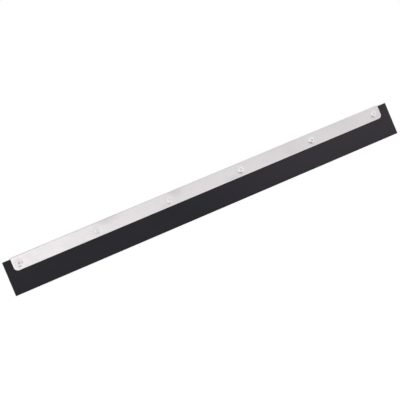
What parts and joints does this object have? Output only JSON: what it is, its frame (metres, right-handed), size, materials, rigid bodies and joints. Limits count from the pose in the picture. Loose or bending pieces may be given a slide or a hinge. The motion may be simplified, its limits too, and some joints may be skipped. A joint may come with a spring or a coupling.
{
  "type": "squeegee head",
  "caption": "Straight squeegee head: a flat rubber blade gripped along its upper edge in a folded sheet-metal channel by a row of domed blind rivets, with a lip that flexes.",
  "frame": {"origin": "middle of the wiping edge, the flat end face of the rubber lip", "axes": "+X along the blade, to the right as the rivet heads are faced; +Y from the rivet heads to their blind ends; +Z from the wiping edge up to the fold of the channel"},
  "size_m": [0.6096, 0.0155, 0.0508],
  "materials": {
    "galvanised_sheet": "satin galvanised sheet with faint rolling lines",
    "blade_rubber": "matt black",
    "rivet_aluminium": "bright tumbled",
    "mandrel_steel": "dull, with a torn end"
  },
  "bodies": {
    "frame": {"channel": "galvanised_sheet", "blade_root": "blade_rubber", "rivet_body_1": "rivet_aluminium", "rivet_body_2": "rivet_aluminium", "rivet_body_3": "rivet_aluminium", "rivet_body_4": "rivet_aluminium", "rivet_body_5": "rivet_aluminium", "rivet_body_6": "rivet_aluminium", "rivet_mandrel_1": "mandrel_steel", "rivet_mandrel_2": "mandrel_steel", "rivet_mandrel_3": "mandrel_steel", "rivet_mandrel_4": "mandrel_steel", "rivet_mandrel_5": "mandrel_steel", "rivet_mandrel_6": "mandrel_steel"},
    "lip": {"blade_lip": "blade_rubber"}
  },
  "joints": [
    {"name": "blade_flex", "type": "hinge", "parent": "frame", "child": "lip", "pos_m": [0, 0, 0.0262], "axis": [1, 0, 0], "range_deg": [-30, 30], "stiffness_Nm_per_rad": 4.4}
  ]
}
